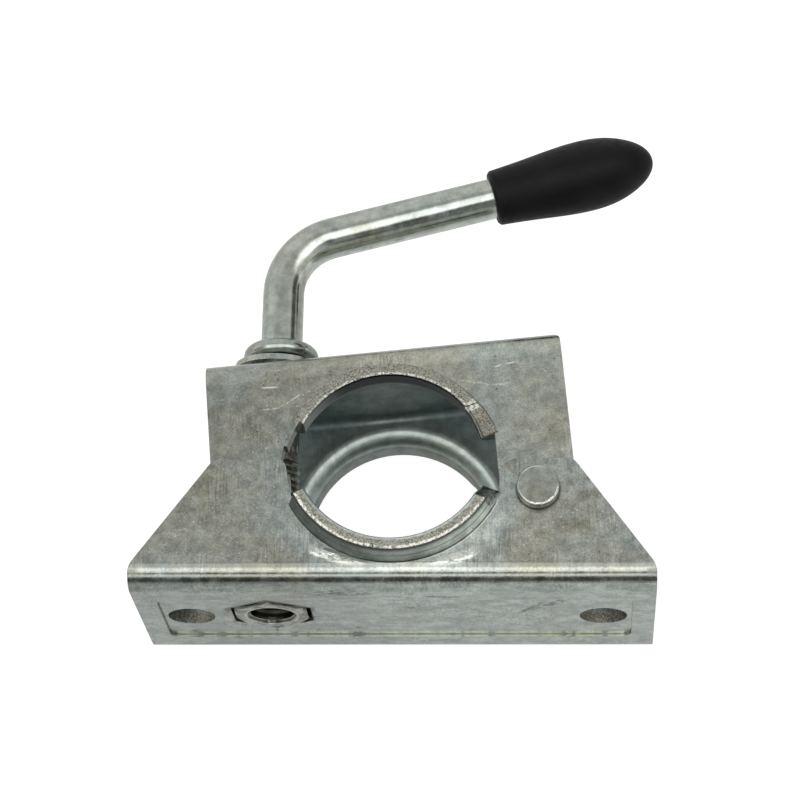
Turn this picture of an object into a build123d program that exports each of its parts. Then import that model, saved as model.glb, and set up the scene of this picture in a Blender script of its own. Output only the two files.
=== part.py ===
from build123d import *
import os
from math import asin, cos, degrees, radians, sin, sqrt, tan

# Frame: origin at the centre of the tube bore, +Z up along the bore,
# -Y out of the face that is bolted to the wall, +X towards the pivot rivet. Lengths in mm.

# Clamped tube and the drawn collars that grip it
tube_dia = 48.0
tube_ease = 0.2
collar_wall = 3.0
collar_flare = 1.8
collar_stand = 5.5
rim_round_in = 0.9
rim_round_out = 0.3
bore_r = tube_dia / 2 + tube_ease
wall_r = bore_r + collar_wall
foot_r = wall_r + collar_flare

# Pressed plate that both channels are made of
plate = 4.0

# Mounting bracket
web_y = -34.6
bracket_half_z = 27.0
bracket_bend = 6.0
web_half_x = 65.2
shoulder_y = -29.7
shoulder_round = 6.0
edge_y = -1.7
edge_half_x = 45.0
edge_corner = 3.0
notch_inset = 2.4
notch_lean_inset = 3.8
notch_lean_y = -4.5
notch_round_right = 4.5
notch_round_left = 2.5
bracket_collar_start = -152.0
bracket_collar_full = -32.0
bracket_collar_end = -21.5

# Stiffening panel pressed into the web, and the bolt holes
panel_x = 119.0
panel_z = 30.0
panel_depth = 0.7
panel_corner = 3.0
bolt_hole_dia = 12.0
bolt_pitch = 104.6

# Captive nut and its drawn hexagonal pocket
screw_x = -31.8
nut_flats = 18.4
nut_height = 12.0
nut_face_y = -33.85
nut_turn = 1.4
nut_chamfer = 1.6
nut_chamfer_slope = 30.0
nut_flat_inset = 0.3
nut_countersink_dia = 12.6
pocket_ease = 0.8
pocket_wall = 2.8
pocket_floor = 3.0
pocket_round = 2.4
pocket_mouth_round = 0.6
pocket_hole_dia = 13.0

# Pivot rivet
rivet_x = 36.2
rivet_y = -9.9
rivet_pin_dia = 8.0
rivet_head_dia = 10.6
rivet_head = 3.2
rivet_edge = 0.6
rivet_seat_gap = 0.35
rivet_tail_dia = 12.0
rivet_tail = 3.2
rivet_tail_round = 2.4
rivet_ease = 0.05

# Swinging jaw, drawn in its parallel position and then turned about the rivet
flange_gap = 0.3
jaw_web_y = 35.9
jaw_bend = 8.0
jaw_bend_inner = 2.0
jaw_low_x = -45.0
jaw_high_x = 45.9
jaw_turn = 5.58
jaw_notch_left_inset = 3.6
jaw_notch_right_inset = 2.0
jaw_corner_right = 3.5
jaw_corner_left = 0.8
jaw_collar_start = 16.0
jaw_collar_full = 32.6
jaw_collar_end = 147.5
jaw_collar_end_low = 157.0
jaw_tooth = 0.9
scallop_inset = 1.9
scallop_step_at = 159.5
scallop_low_inset = 1.1
scallop_end = 175.6
left_tongue_y = -0.2
slot_low_x = -41.3
slot_high_x = -19.5
slot_z = 13.0

# Clamp screw: one bar with a thread, an upset collar and a cranked arm
thread_dia = 11.0
thread_ease = 0.05
thread_end_y = 10.2
shank_dia = 10.9
tip_y = -29.9
tip_chamfer = 1.2
upset_y = 37.6
upset_tube_r = 2.3
upset_ring_r = 7.55
crank_y = 69.25
crank_bend = 17.0
arm_angle = 14.74
arm_length = 92.0

# Leaning washer in front of the upset collar
washer_dia = 24.0
washer_hole_dia = 13.5
washer_thick = 1.5
washer_y = 34.35
washer_lean_x = 2.4
washer_lean_z = 2.7

# Hand grip pushed over the arm
grip_cover = 34.5
grip_end_gap = 1.0
grip_ease = 0.05
grip_mouth_r = 7.45
grip_mouth_round = 0.7
grip_mouth_flare = 0.08
grip_waist_r = 8.3
grip_waist_at = 10.2
grip_swell_r = 9.55
grip_swell_at = 26.4
grip_nose_r = 7.15
grip_nose_at = 37.9
grip_length = 44.4

jaw_half_z = bracket_half_z - plate - flange_gap
notch_x = foot_r - notch_inset
notch_lean_x = notch_lean_inset - foot_r
notch_y = -sqrt(foot_r**2 - notch_x**2)
jaw_notch_left = jaw_notch_left_inset - foot_r
jaw_notch_right = foot_r - jaw_notch_right_inset
scallop_r = foot_r - scallop_inset
scallop_low_r = foot_r - scallop_low_inset
tall = 4 * bracket_half_z


def along_y(x, y):
    """Plane across the screw's direction, looking along +Y."""
    return Plane(origin=(x, y, 0), x_dir=(1, 0, 0), z_dir=(0, 1, 0))


def standing(face):
    """Plan face drawn at z = 0, grown up and down through the whole part."""
    return extrude(face, tall / 2, both=True)


def both_flanges(solid):
    """A shape on the upper flange and its mirror image on the lower one."""
    return solid + mirror(solid, about=Plane.XY)


def corners_at(face, x=None, y=None):
    """Vertices of a plan face at the stated x or y."""
    found = face.vertices()
    if x is not None:
        found = [v for v in found if abs(v.X - x) < 0.01]
    if y is not None:
        found = [v for v in found if abs(v.Y - y) < 0.01]
    return found


def channel(web, free, half_z, bend, inner_bend, low_x, high_x):
    """Pressed channel: web across Y at web, flanges running to free, rounded bends between."""
    inward = 1 if free > web else -1
    inner = web + inward * plate
    inner_z = half_z - plate
    section = make_face(
        Polyline(
            (web, -half_z),
            (free, -half_z),
            (free, -inner_z),
            (inner, -inner_z),
            (inner, inner_z),
            (free, inner_z),
            (free, half_z),
            (web, half_z),
            close=True,
        )
    )
    section = fillet(corners_at(section, x=web), bend)
    section = fillet(corners_at(section, x=inner), inner_bend)
    return Pos(low_x, 0, 0) * extrude(Plane.YZ * section, high_x - low_x, dir=(1, 0, 0))


def collar(flange_z, start, end):
    """Collar drawn out of a flange: a roll inside its root, a flared wall and a sheared rim."""
    rim_z = flange_z + collar_stand
    under_z = flange_z - plate
    roll = foot_r - bore_r
    outline = [
        Line((bore_r, rim_z), (bore_r, under_z + roll)),
        CenterArc((foot_r, under_z + roll), roll, 180, 90),
        Line((foot_r, under_z), (foot_r, flange_z)),
        Line((foot_r, flange_z), (wall_r, rim_z)),
        Line((wall_r, rim_z), (bore_r, rim_z)),
    ]
    profile = make_face(outline)
    profile = fillet(corners_at(profile, x=bore_r, y=rim_z), rim_round_in)
    profile = fillet(corners_at(profile, x=wall_r, y=rim_z), rim_round_out)
    ring = revolve(Plane.XZ * profile, axis=Axis.Z, revolution_arc=end - start)
    return Rot(0, 0, start) * ring


def pie(radius, low_z, start, end):
    """Sector round the bore axis, from low_z upwards, to clear the flange under a collar."""
    half = make_face(Polyline((0, low_z), (radius, low_z), (radius, tall), (0, tall), close=True))
    return Rot(0, 0, start) * revolve(Plane.XZ * half, axis=Axis.Z, revolution_arc=end - start)


def collar_ramp(flange_z, foot_at, full_at, tooth=0.0):
    """Wedge that cuts a collar's end down to the flange in a straight ramp."""
    mid_r = (bore_r + wall_r) / 2
    run = mid_r * radians(full_at - foot_at)
    top_z = flange_z + collar_stand
    wedge = make_face(
        Polyline(
            (-run, flange_z),
            (0, flange_z),
            (run, top_z - tooth),
            (run, top_z + plate),
            (-run, top_z + plate),
            close=True,
        )
    )
    facing = Plane(origin=(mid_r, 0, 0), x_dir=(0, 1, 0), z_dir=(1, 0, 0))
    return Rot(0, 0, foot_at) * extrude(facing * wedge, plate, both=True)


def hexagon(flats):
    """Hexagon across the screw axis with corners up and down, turned a little as pressed."""
    return RegularPolygon(flats / 2, 6, major_radius=False, rotation=30 - nut_turn)


def pocket_boss():
    """Hexagonal cup drawn inwards out of the web for the nut, before it is hollowed."""
    outer_flats = nut_flats + 2 * pocket_ease + 2 * pocket_wall
    root_y = web_y + plate / 2
    end_y = nut_face_y + nut_height + pocket_floor
    boss = extrude(along_y(screw_x, root_y) * hexagon(outer_flats), end_y - root_y)
    boss = fillet(boss.edges().filter_by(Axis.Y), pocket_round)
    return fillet(boss.faces().sort_by(Axis.Y)[-1].edges(), pocket_round)


def nut_pocket():
    """Hollow of the pocket: hexagonal down to the nut's back, rounded off at its mouth."""
    hexagonal = hexagon(nut_flats + 2 * pocket_ease)
    mouth_y = web_y + panel_depth
    hollow = extrude(along_y(screw_x, web_y) * hexagonal, nut_face_y + nut_height - web_y)
    wider = offset(hexagonal, pocket_mouth_round)
    mouth = extrude(along_y(screw_x, mouth_y) * wider, pocket_mouth_round, taper=45)
    return hollow + mouth


def bracket_plan():
    """Outline of the bracket seen from above, with the notch between its two arms."""
    plan = make_face(
        Polyline(
            (-web_half_x, web_y),
            (web_half_x, web_y),
            (web_half_x, shoulder_y),
            (edge_half_x, edge_y),
            (notch_x, edge_y),
            (notch_x, notch_y),
            (notch_lean_x, notch_y),
            (-notch_x, notch_lean_y),
            (-notch_x, edge_y),
            (-edge_half_x, edge_y),
            (-web_half_x, shoulder_y),
            close=True,
        )
    )
    plan = fillet(corners_at(plan, y=shoulder_y), shoulder_round)
    far = corners_at(plan, y=edge_y)
    plan = fillet([v for v in far if abs(abs(v.X) - edge_half_x) < 0.01], edge_corner)
    plan = fillet(corners_at(plan, x=notch_x, y=edge_y), notch_round_right)
    return fillet(corners_at(plan, x=-notch_x, y=edge_y), notch_round_left)


def mounting_bracket():
    """Fixed half: pressed channel with a bolt-on web, two arms and the fixed collars."""
    inner_bend = bracket_bend - plate
    body = channel(
        web_y, edge_y + plate, bracket_half_z, bracket_bend, inner_bend, -web_half_x, web_half_x
    )
    body = body & standing(bracket_plan())
    under_bend_z = bracket_half_z - bracket_bend
    notch_meets = degrees(asin(notch_y / foot_r))
    body -= both_flanges(pie(foot_r, under_bend_z, bracket_collar_start, notch_meets))
    ring = collar(bracket_half_z, bracket_collar_start, bracket_collar_end)
    ring -= collar_ramp(bracket_half_z, bracket_collar_end, bracket_collar_full)
    body += both_flanges(ring)
    panel = RectangleRounded(panel_x, panel_z, panel_corner)
    body += extrude(along_y(0, web_y + plate) * panel, panel_depth)
    body += pocket_boss()
    body -= extrude(along_y(0, web_y) * panel, panel_depth)
    body -= nut_pocket()
    body -= extrude(along_y(screw_x, web_y) * Circle(pocket_hole_dia / 2), tall)
    for side in (-1, 1):
        hole_x = side * bolt_pitch / 2
        body -= extrude(along_y(hole_x, web_y) * Circle(bolt_hole_dia / 2), 2 * plate)
    body -= Pos(rivet_x, rivet_y, 0) * Cylinder(rivet_pin_dia / 2 + rivet_ease, tall)
    return body


def captive_nut():
    """High hexagon nut, chamfered on its outer face, lying against the pocket's floor."""
    nut = extrude(along_y(screw_x, nut_face_y) * hexagon(nut_flats), nut_height)
    flat_r = nut_flats / 2 - nut_flat_inset
    outer_r = flat_r + nut_chamfer / tan(radians(nut_chamfer_slope))
    cone = make_face(
        Polyline(
            (0, 0),
            (flat_r, 0),
            (outer_r, nut_chamfer),
            (outer_r, nut_height),
            (0, nut_height),
            close=True,
        )
    )
    envelope = revolve(Plane.XZ * cone, axis=Axis.Z)
    nut = nut & (along_y(screw_x, nut_face_y) * envelope)
    bore_radius = thread_dia / 2 + thread_ease
    nut -= extrude(along_y(screw_x, nut_face_y) * Circle(bore_radius), nut_height)
    sink = nut_countersink_dia / 2 - bore_radius
    mouth = along_y(screw_x, nut_face_y) * Circle(nut_countersink_dia / 2)
    nut -= extrude(mouth, sink, taper=45)
    return nut


def pivot_rivet():
    """Long rivet through all four flanges, flat head on top and a formed head below."""
    pin = Cylinder(rivet_pin_dia / 2, 2 * bracket_half_z)
    head = Pos(0, 0, bracket_half_z + rivet_head / 2) * Cylinder(rivet_head_dia / 2, rivet_head)
    head = fillet(head.edges().sort_by(Axis.Z)[-1], rivet_edge)
    head = chamfer(head.edges().sort_by(Axis.Z)[0], rivet_seat_gap)
    tail = Pos(0, 0, -bracket_half_z - rivet_tail / 2) * Cylinder(rivet_tail_dia / 2, rivet_tail)
    tail = fillet(tail.edges().sort_by(Axis.Z)[0], rivet_tail_round)
    return Pos(rivet_x, rivet_y, 0) * (pin + head + tail)


def jaw_plan():
    """Outline of the jaw seen from above: a closed back and two round-ended tongues."""
    left_r = (jaw_notch_left - jaw_low_x) / 2
    left_x = (jaw_notch_left + jaw_low_x) / 2
    right_r = (jaw_high_x - jaw_notch_right) / 2
    right_x = (jaw_high_x + jaw_notch_right) / 2
    end_x = jaw_notch_right
    end_y = jaw_notch_right * tan(radians(jaw_collar_start))
    plan = make_face(
        Polyline(
            (jaw_low_x, left_tongue_y),
            (jaw_notch_left, left_tongue_y),
            (jaw_notch_left, -jaw_notch_left * tan(radians(180 - scallop_end))),
            (0, 0),
            (end_x, end_y),
            (jaw_notch_right, rivet_y),
            (jaw_high_x, rivet_y),
            (jaw_high_x, jaw_web_y),
            (jaw_low_x, jaw_web_y),
            close=True,
        )
    )
    plan = fillet(corners_at(plan, x=jaw_high_x, y=jaw_web_y), jaw_corner_right)
    plan = fillet(corners_at(plan, x=jaw_low_x, y=jaw_web_y), jaw_corner_left)
    plan += Pos(left_x, left_tongue_y) * Circle(left_r)
    plan += Pos(right_x, rivet_y) * Circle(right_r)
    return plan


def swing_jaw():
    """Moving half: a narrower channel nested between the bracket's flanges."""
    body = channel(
        jaw_web_y, -tall / 2, jaw_half_z, jaw_bend, jaw_bend_inner, jaw_low_x, jaw_high_x
    )
    body = body & standing(jaw_plan())
    under_bend_z = jaw_half_z - jaw_bend
    ramp = collar_ramp(jaw_half_z, jaw_collar_start, jaw_collar_full, jaw_tooth)
    for end, below in ((jaw_collar_end, False), (jaw_collar_end_low, True)):
        cut = pie(foot_r, under_bend_z, jaw_collar_start, end)
        cut += pie(scallop_r, under_bend_z, end, scallop_step_at)
        cut += pie(scallop_low_r, under_bend_z, scallop_step_at, scallop_end)
        ring = collar(jaw_half_z, jaw_collar_start, end) - ramp
        if below:
            cut = mirror(cut, about=Plane.XY)
            ring = mirror(ring, about=Plane.XY)
        body = body - cut + ring
    slot = SlotOverall(slot_high_x - slot_low_x, slot_z)
    slot_x = (slot_high_x + slot_low_x) / 2
    body -= extrude(along_y(slot_x, jaw_web_y - 2 * plate) * slot, 4 * plate)
    body -= Pos(rivet_x, rivet_y, 0) * Cylinder(rivet_pin_dia / 2 + rivet_ease, tall)
    pivot = Pos(rivet_x, rivet_y, 0)
    return pivot * Rot(0, 0, jaw_turn) * pivot.inverse() * body


def arm_point(distance):
    """Point on the cranked arm's axis, measured from where it meets the screw's axis."""
    angle = radians(arm_angle)
    return (screw_x + distance * cos(angle), crank_y + distance * sin(angle), 0)


def clamp_screw():
    """Bar bent into a crank: thread at one end, upset collar, bend and plain arm."""
    path = FilletPolyline(
        (screw_x, thread_end_y, 0), (screw_x, crank_y, 0), arm_point(arm_length), radius=crank_bend
    )
    bar = sweep(along_y(screw_x, thread_end_y) * Circle(shank_dia / 2), path=path)
    thread = extrude(along_y(screw_x, tip_y) * Circle(thread_dia / 2), thread_end_y - tip_y)
    thread = chamfer(thread.edges().sort_by(Axis.Y)[0], tip_chamfer)
    upset = along_y(screw_x, upset_y) * Torus(upset_ring_r, upset_tube_r)
    return bar + thread + upset


def clamp_washer():
    """Plain washer, loose on the screw and leaning against the upset collar."""
    ring = Circle(washer_dia / 2) - Circle(washer_hole_dia / 2)
    washer = extrude(ring, -washer_thick)
    washer = Rot(washer_lean_z, washer_lean_x, 0) * washer
    return along_y(screw_x, washer_y) * washer


def handle_grip():
    """Moulded grip swelling towards its rounded end, with a blind hole for the arm."""
    hole_r = shank_dia / 2 + grip_ease
    hole_depth = grip_cover + grip_end_gap
    lip = (grip_mouth_r, grip_mouth_round)
    swell = [
        lip,
        (grip_waist_r, grip_waist_at),
        (grip_swell_r, grip_swell_at),
        (grip_nose_r, grip_nose_at),
        (0, grip_length),
    ]
    outline = [
        Line((hole_r, 0), (grip_mouth_r - grip_mouth_round, 0)),
        Line((grip_mouth_r - grip_mouth_round, 0), lip),
        Spline(*swell, tangents=[(grip_mouth_flare, 1), (-1, 0)]),
        Line((0, grip_length), (0, hole_depth)),
        Line((0, hole_depth), (hole_r, hole_depth)),
        Line((hole_r, hole_depth), (hole_r, 0)),
    ]
    grip = revolve(Plane.XZ * make_face(outline), axis=Axis.Z)
    angle = radians(arm_angle)
    mouth = arm_point(arm_length - grip_cover)
    return Plane(origin=mouth, x_dir=(0, 0, 1), z_dir=(cos(angle), sin(angle), 0)) * grip


os.makedirs("parts", exist_ok=True)
nodes = {
    "mounting_bracket": mounting_bracket,
    "captive_nut": captive_nut,
    "pivot_rivet": pivot_rivet,
    "swing_jaw": swing_jaw,
    "clamp_screw": clamp_screw,
    "clamp_washer": clamp_washer,
    "handle_grip": handle_grip,
}
for name, make in nodes.items():
    export_step(make(), f"parts/{name}.step")
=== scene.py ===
import math

import bpy
from mathutils import Matrix, Vector


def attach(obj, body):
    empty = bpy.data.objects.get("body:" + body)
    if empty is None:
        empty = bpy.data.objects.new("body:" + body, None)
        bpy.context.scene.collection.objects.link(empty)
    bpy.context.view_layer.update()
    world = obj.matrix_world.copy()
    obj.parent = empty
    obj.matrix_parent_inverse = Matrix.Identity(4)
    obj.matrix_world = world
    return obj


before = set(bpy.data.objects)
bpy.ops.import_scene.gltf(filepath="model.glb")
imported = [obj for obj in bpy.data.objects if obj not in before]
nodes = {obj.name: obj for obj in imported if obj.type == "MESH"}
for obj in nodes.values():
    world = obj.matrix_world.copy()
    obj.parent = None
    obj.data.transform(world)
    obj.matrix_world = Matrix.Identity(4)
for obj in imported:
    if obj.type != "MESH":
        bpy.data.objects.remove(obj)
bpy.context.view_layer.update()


# Mounting bracket: the fixed half of the clamp, one 4 mm steel plate sheared out, pressed to a
# channel and zinc plated, with half collars drawn up out of its flanges. Two bolts through its
# web hold it, and the web is scuffed and dirty. Lengths here are in millimetres.
MM = 0.001
BORE_R, WALL_R, FOOT_R = 24.2, 27.2, 29.0
COLLAR_RIM = 32.5
FLANGE_TOP, FLANGE_UNDER = 27.0, 23.0
WEB_FRONT, WEB_INSIDE = -34.6, -30.6
BEND_START = -28.6
WEB_HALF_X = 65.2
PANEL_HALF_Z = 15.0
RIVET = Vector((36.2, -9.9, 0.0))
RIVET_HEAD_R = 5.3
SCREW_AXIS = (-31.8, 0.0, 0.0)
NUT_TURN = math.radians(1.4)
NUT_HALF = 9.2
NUT_TOP = (1.5, 5.0)

WARM_ZINC = (0.375, 0.375, 0.31)
COOL_ZINC = (0.36, 0.392, 0.365)
# Dark grey for real pits, also used for painted shade and shadow.
PIT_AND_SHADE_GREY = (0.035, 0.035, 0.028)
# Near white for real specks and scratches, also used for painted highlights and glints.
SPECK_AND_HIGHLIGHT_WHITE = (0.80, 0.80, 0.72)
SHEARED_LIGHT = (0.43, 0.425, 0.36)
SHEARED_DARK = (0.075, 0.075, 0.06)
BURR_WHITE = (0.85, 0.84, 0.76)
INSIDE_TINT = (0.90, 1.01, 1.05)
POCKET_LIP_WHITE = (0.6, 0.6, 0.5)
PANEL_LIP_HIGHLIGHT = (0.8, 0.8, 0.62)


# One shader node with its settings, its inputs linked or set.
def node(tree, kind, inputs=None, **settings):
    made = tree.nodes.new(kind)
    for name, value in settings.items():
        setattr(made, name, value)
    for key, value in (inputs or {}).items():
        if isinstance(value, bpy.types.NodeSocket):
            tree.links.new(value, made.inputs[key])
        else:
            made.inputs[key].default_value = value
    return made


# Sums on values and places. Where a function takes several terms, it chains them.
def maths(tree, operation, first, second=0.0):
    return node(tree, "ShaderNodeMath", {0: first, 1: second}, operation=operation).outputs[0]


def chain(tree, operation, terms):
    result = terms[0]
    for term in terms[1:]:
        result = maths(tree, operation, result, term)
    return result


def product(tree, *factors):
    return chain(tree, "MULTIPLY", factors)


def total(tree, *terms):
    return chain(tree, "ADD", terms)


def largest(tree, *terms):
    return chain(tree, "MAXIMUM", terms)


def less(tree, value, amount):
    return maths(tree, "SUBTRACT", value, amount)


def inverse(tree, value):
    return less(tree, 1.0, value)


def size_of(tree, value):
    return maths(tree, "ABSOLUTE", value)


def vector_maths(tree, operation, first, second=(0.0, 0.0, 0.0)):
    made = node(tree, "ShaderNodeVectorMath", {0: first, 1: second}, operation=operation)
    gives_number = operation in ("LENGTH", "DISTANCE", "DOT_PRODUCT")
    return made.outputs["Value" if gives_number else "Vector"]


def split(tree, vector):
    return node(tree, "ShaderNodeSeparateXYZ", {0: vector}).outputs


def scaled(tree, vector, factor):
    made = node(tree, "ShaderNodeVectorMath", {0: vector, "Scale": factor}, operation="SCALE")
    return made.outputs["Vector"]


def mapped(tree, vector, scale=(1.0, 1.0, 1.0), turn=(0.0, 0.0, 0.0)):
    inputs = {"Vector": vector, "Rotation": turn, "Scale": scale}
    return node(tree, "ShaderNodeMapping", inputs).outputs[0]


# Soft masks: past a border, from low to high, and between two borders.
def step(tree, value, low, high, to_low=0.0, to_high=1.0):
    inputs = {"Value": value, "From Min": low, "From Max": high, "To Min": to_low, "To Max": to_high}
    made = node(tree, "ShaderNodeMapRange", inputs, interpolation_type="SMOOTHSTEP")
    return made.outputs["Result"]


def between(tree, value, low, high, soft):
    rise = step(tree, value, low - soft, low + soft)
    return product(tree, rise, step(tree, value, high + soft, high - soft))


def noise(tree, vector, scale, detail=2.0, roughness=0.5):
    inputs = {"Vector": vector, "Scale": scale, "Detail": detail, "Roughness": roughness}
    return node(tree, "ShaderNodeTexNoise", inputs).outputs["Fac"]


def dots(tree, vector, scale, radius):
    made = node(tree, "ShaderNodeTexVoronoi", {"Vector": vector, "Scale": scale, "Randomness": 1.0})
    return step(tree, made.outputs["Distance"], radius, radius * 0.55)


# Mixes of two colours, and of two numbers.
def blend(tree, factor, first, second):
    made = node(tree, "ShaderNodeMix", data_type="RGBA", blend_type="MIX")
    for index, value in ((0, factor), (6, first), (7, second)):
        if isinstance(value, bpy.types.NodeSocket):
            tree.links.new(value, made.inputs[index])
        else:
            made.inputs[index].default_value = value if index == 0 else (*value[:3], 1.0)
    return made.outputs[2]


def mixed(tree, factor, first, second):
    inputs = {0: factor, 2: first, 3: second}
    return node(tree, "ShaderNodeMix", inputs, data_type="FLOAT").outputs[0]


def new_group(name, sockets_in, sockets_out):
    tree = bpy.data.node_groups.new(name, "ShaderNodeTree")
    for label, kind in sockets_in:
        tree.interface.new_socket(label, in_out="INPUT", socket_type=kind)
    for label, kind in sockets_out:
        tree.interface.new_socket(label, in_out="OUTPUT", socket_type=kind)
    return tree, node(tree, "NodeGroupInput").outputs, node(tree, "NodeGroupOutput").inputs


# Zinc plating, shared by every steel piece: grey-green clouds and mottle, fine grain, brushed
# lines, bright specks, dark pits and handling scratches. Scales are in turns per millimetre.
FLOAT, VECTOR, COLOUR = "NodeSocketFloat", "NodeSocketVector", "NodeSocketColor"
CLOUD_SCALE, MOTTLE_SCALE, GRAIN_SCALE = 0.05, 0.3, 1.9
SPECK_SCALE, PIT_SCALE = 0.7, 0.42
BRUSHED_ALONG_Y, SLANTED_SCRATCHES = (2.2, 0.16, 1.0), (0.09, 2.1, 1.0)
SCRATCH_SLANT = 0.9
GRAIN_HEIGHT, MOTTLE_HEIGHT, PIT_DEPTH = 0.013, 0.014, 0.015
zinc, plate_in, plate_out = new_group(
    "zinc_plate",
    [("Millimetres", VECTOR), ("Level", FLOAT), ("Warmth", FLOAT), ("Grain", FLOAT), ("Specks", FLOAT)],
    [("Color", COLOUR), ("Roughness", FLOAT), ("Height", FLOAT)],
)
place = plate_in["Millimetres"]
clouds = noise(zinc, place, CLOUD_SCALE, 3.0, 0.6)
tint = step(zinc, total(zinc, clouds, plate_in["Warmth"]), 0.36, 0.70)
tint = blend(zinc, tint, COOL_ZINC, WARM_ZINC)
mottle = noise(zinc, place, MOTTLE_SCALE, 4.0, 0.62)
shade = step(zinc, mottle, 0.3, 0.7, 0.82, 1.18)
grain = noise(zinc, place, GRAIN_SCALE, 3.0, 0.8)
brushed = noise(zinc, mapped(zinc, place, BRUSHED_ALONG_Y), 1.0, 2.0)
brush_gate = step(zinc, noise(zinc, place, 0.07, 1.0), 0.45, 0.62, 0.0, 0.8)
fine = total(zinc, less(zinc, grain, 0.5), product(zinc, less(zinc, brushed, 0.5), brush_gate))
fine = product(zinc, fine, plate_in["Grain"])
shade = product(zinc, total(zinc, shade, fine), plate_in["Level"])
tint = scaled(zinc, tint, shade)
speck_gate = step(zinc, noise(zinc, place, 0.16, 1.0), 0.46, 0.6)
speck = product(zinc, dots(zinc, place, SPECK_SCALE, 0.2), speck_gate, plate_in["Specks"])
pit_gate = step(zinc, noise(zinc, place, 0.11, 1.0), 0.54, 0.62)
pit = product(zinc, dots(zinc, place, PIT_SCALE, 0.13), pit_gate, plate_in["Specks"])
slanted = mapped(zinc, place, SLANTED_SCRATCHES, (0.0, 0.0, SCRATCH_SLANT))
slanted = noise(zinc, slanted, 1.0, 2.0)
scratch_gate = step(zinc, noise(zinc, place, 0.2, 1.0), 0.55, 0.68)
scratch = product(zinc, step(zinc, slanted, 0.70, 0.74), scratch_gate, plate_in["Specks"])
tint = blend(zinc, product(zinc, largest(zinc, speck, scratch), 0.45), tint, SPECK_AND_HIGHLIGHT_WHITE)
tint = blend(zinc, product(zinc, pit, 0.7), tint, PIT_AND_SHADE_GREY)
rough = total(zinc, step(zinc, mottle, 0.3, 0.7, 0.17, 0.25), product(zinc, fine, 0.08))
relief = product(zinc, grain, plate_in["Grain"], GRAIN_HEIGHT)
relief = total(zinc, relief, product(zinc, mottle, MOTTLE_HEIGHT))
relief = less(zinc, relief, product(zinc, pit, PIT_DEPTH))
zinc.links.new(tint, plate_out["Color"])
zinc.links.new(rough, plate_out["Roughness"])
zinc.links.new(relief, plate_out["Height"])


def plated(tree, place, level, warmth, grain, specks):
    inputs = {"Millimetres": place, "Level": level, "Warmth": warmth, "Grain": grain, "Specks": specks}
    return node(tree, "ShaderNodeGroup", inputs, node_tree=zinc).outputs


# Sheared metal, laid over the plating: the torn, granular strip left where a plate or collar
# was cut. The second mask says where bright burrs stand.
TORN_SCALE, BLOTCH_SCALE, BURR_SCALE = 2.3, 0.35, 1.4
TORN_HEIGHT, TORN_ROUGHNESS = 0.2, 0.45
sheared, cut_in, cut_out = new_group(
    "sheared_edge",
    [
        ("Millimetres", VECTOR),
        ("Mask", FLOAT),
        ("Burr", FLOAT),
        ("Color", COLOUR),
        ("Roughness", FLOAT),
        ("Height", FLOAT),
    ],
    [("Color", COLOUR), ("Roughness", FLOAT), ("Height", FLOAT)],
)
place = cut_in["Millimetres"]
torn = noise(sheared, place, TORN_SCALE, 4.0, 0.75)
torn_tint = blend(sheared, step(sheared, torn, 0.38, 0.62), SHEARED_DARK, SHEARED_LIGHT)
blotch = step(sheared, noise(sheared, place, BLOTCH_SCALE, 2.0), 0.3, 0.7, 0.0, 0.28)
torn_tint = blend(sheared, blotch, torn_tint, SHEARED_LIGHT)
burr_gate = step(sheared, noise(sheared, place, BURR_SCALE, 3.0, 0.7), 0.42, 0.54)
burr = product(sheared, cut_in["Burr"], burr_gate)
torn_tint = blend(sheared, burr, torn_tint, BURR_WHITE)
mask = largest(sheared, cut_in["Mask"], burr)
rough = mixed(sheared, mask, cut_in["Roughness"], TORN_ROUGHNESS)
relief = total(sheared, product(sheared, torn, mask, TORN_HEIGHT), cut_in["Height"])
sheared.links.new(blend(sheared, mask, cut_in["Color"], torn_tint), cut_out["Color"])
sheared.links.new(rough, cut_out["Roughness"])
sheared.links.new(relief, cut_out["Height"])


def with_cuts(tree, place, base, mask, burr, roughness):
    inputs = {
        "Millimetres": place,
        "Mask": mask,
        "Burr": burr,
        "Color": base["Color"],
        "Roughness": roughness,
        "Height": base["Height"],
    }
    return node(tree, "ShaderNodeGroup", inputs, node_tree=sheared).outputs


# A piece's material: its node tree, shader, place in millimetres and the way its faces look.
def new_material(name):
    made = bpy.data.materials.new(name)
    made.use_nodes = True
    tree = made.node_tree
    coordinates = node(tree, "ShaderNodeTexCoord").outputs
    millimetres = mapped(tree, coordinates["Object"], (1.0 / MM, 1.0 / MM, 1.0 / MM))
    return made, tree, tree.nodes["Principled BSDF"], millimetres, coordinates["Normal"]


def finish_steel(tree, shader, colour, roughness, height, strength=0.6):
    bump = node(tree, "ShaderNodeBump", {"Strength": strength, "Distance": MM, "Height": height})
    tree.links.new(colour, shader.inputs["Base Color"])
    tree.links.new(roughness, shader.inputs["Roughness"])
    tree.links.new(bump.outputs["Normal"], shader.inputs["Normal"])
    shader.inputs["Metallic"].default_value = 1.0


def dress(name, made):
    mesh = nodes[name].data
    mesh.materials.clear()
    mesh.materials.append(made)


# Distance from an axis through a point, upright or along the screw.
ACROSS_UPRIGHT = (1.0, 1.0, 0.0)
ACROSS_SCREW = (1.0, 0.0, 1.0)


def reach_from(tree, offset, across):
    return vector_maths(tree, "LENGTH", vector_maths(tree, "MULTIPLY", offset, across))


# Soft marks on a face seen square on, for scratches, creases and dirt: along lines, or round
# points. The stains are such spots broken up by noise.
def mark(tree, place, start, end, width, fade):
    along = Vector((*end, 0.0)) - Vector((*start, 0.0))
    direction = along.normalized()
    across = (-direction.y, direction.x, 0.0)
    offset = vector_maths(tree, "SUBTRACT", place, (*start, 0.0))
    run = vector_maths(tree, "DOT_PRODUCT", offset, tuple(direction))
    off = size_of(tree, vector_maths(tree, "DOT_PRODUCT", offset, across))
    on_line = step(tree, off, width, width * 0.3)
    return product(tree, between(tree, run, 0.0, along.length, fade), on_line)


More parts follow.
